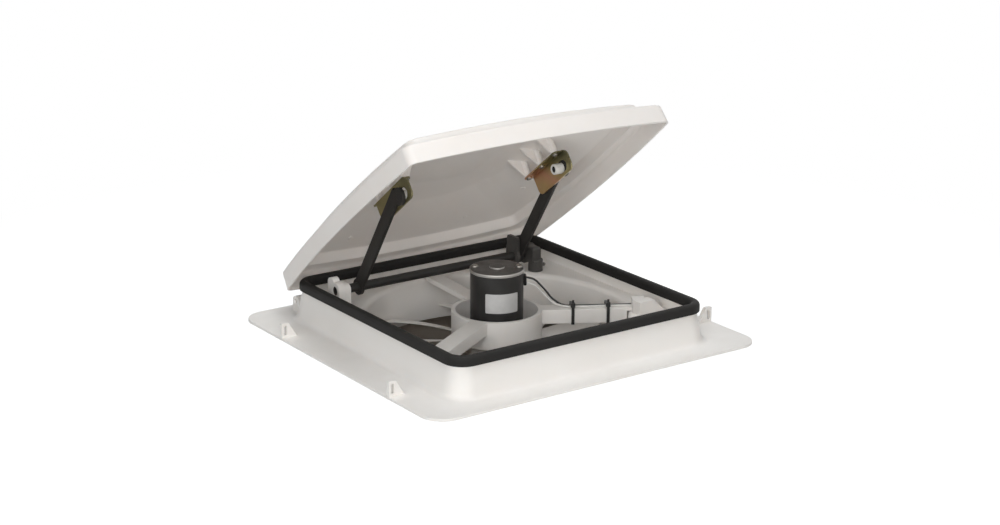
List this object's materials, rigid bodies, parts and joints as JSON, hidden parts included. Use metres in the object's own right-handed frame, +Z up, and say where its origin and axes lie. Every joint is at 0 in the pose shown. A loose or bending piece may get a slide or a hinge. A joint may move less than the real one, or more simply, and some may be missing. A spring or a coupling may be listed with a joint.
{
  "type": "rv roof vent fan",
  "caption": "Powered roof vent for a camper: flanged rim with seal, motor on spokes, axial fan in a round throat, and a hinged lid raised by a cranked torque shaft with lift arms",
  "frame": {"origin": "Centre of the roof opening, in the plane of the flange's underside, on the fan's axis", "axes": "+Z up out of the roof, +X along the lid's hinge to the right, -Y to the front where the lid opens"},
  "size_m": [0.457, 0.428, 0.3045],
  "materials": {
    "white_plastic": "moulded, fine satin grain",
    "roller_plastic": "smooth, slightly waxy",
    "black_rubber": "matt, slightly dusty",
    "black_paint": "satin black paint",
    "black_pin": "black oxide",
    "yellow_zinc": "yellow passivated zinc, iridescent",
    "bright_steel": "zinc plated",
    "ground_steel": "ground bar",
    "cap_metal": "pressed steel, dull",
    "housing_plastic": "dark grey moulding",
    "gear_plastic": "natural nylon",
    "worm_steel": "turned",
    "core_steel": "stacked laminations",
    "copper": "turned copper",
    "ferrite": "ground ferrite",
    "brush_phenolic": "moulded phenolic",
    "bronze": "sintered bronze",
    "black_insulation": "smooth insulation",
    "white_insulation": "smooth insulation",
    "tie_nylon": "black nylon"
  },
  "bodies": {
    "base": {"base_frame": "white_plastic", "fan_shroud": "white_plastic", "motor_spider": "white_plastic", "rim_seal": "black_rubber", "hinge_pins": "bright_steel", "bearing_block": "white_plastic", "gear_housing": "housing_plastic", "gear_cover": "housing_plastic", "gear_housing_screws": "bright_steel", "motor_can": "black_paint", "motor_end_cap": "cap_metal", "motor_cap_screws": "bright_steel", "motor_mount_screws": "bright_steel", "motor_magnets": "ferrite", "brush_set": "brush_phenolic", "motor_bearing_top": "bronze", "motor_bearing_bottom": "bronze", "lead_grommet": "black_rubber", "lead_black": "black_insulation", "lead_white": "white_insulation", "cable_ties": "tie_nylon", "lead_box": "white_plastic"},
    "fan": {"fan_rotor": "white_plastic", "fan_retaining_nut": "bright_steel", "motor_shaft": "ground_steel", "armature_core": "core_steel", "commutator": "copper"},
    "lid": {"lid_shell": "white_plastic", "lid_bracket_left": "yellow_zinc", "lid_bracket_right": "yellow_zinc", "bracket_screws": "bright_steel"},
    "lift": {"torque_shaft": "black_paint", "lift_arm_left": "black_paint", "lift_arm_right": "black_paint", "roller_pins": "black_pin", "worm_wheel": "gear_plastic"},
    "roller_left": {"lift_roller_left": "roller_plastic"},
    "roller_right": {"lift_roller_right": "roller_plastic"},
    "crank": {"worm_spindle": "worm_steel"}
  },
  "joints": [
    {"name": "fan_spin", "type": "hinge", "parent": "base", "child": "fan", "pos_m": [0, 0, 0], "axis": [0, 0, 1], "continuous": true},
    {"name": "lid_open", "type": "hinge", "parent": "base", "child": "lid", "pos_m": [0, 0.1855, 0.0176], "axis": [-1, 0, 0], "range_deg": [-37.7, 0]},
    {"name": "lift_turn", "type": "hinge", "parent": "base", "child": "lift", "pos_m": [0, 0.121, 0.0442], "axis": [-1, 0, 0], "range_deg": [-54.2, 0]},
    {"name": "crank_turn", "type": "hinge", "parent": "base", "child": "crank", "pos_m": [0.1315, 0.1072, 0], "axis": [0, 0, 1], "range_deg": [-1300, 0]},
    {"name": "roller_left_spin", "type": "hinge", "parent": "lift", "child": "roller_left", "pos_m": [-0.1085, 0.02877, 0.17641], "axis": [1, 0, 0], "continuous": true},
    {"name": "roller_right_spin", "type": "hinge", "parent": "lift", "child": "roller_right", "pos_m": [0.1085, 0.02877, 0.17641], "axis": [1, 0, 0], "continuous": true}
  ],
  "couplings": [
    {"joint": "lift_turn", "follows": "lid_open", "ratio": 1.4324},
    {"joint": "crank_turn", "follows": "lid_open", "ratio": 34.377}
  ]
}
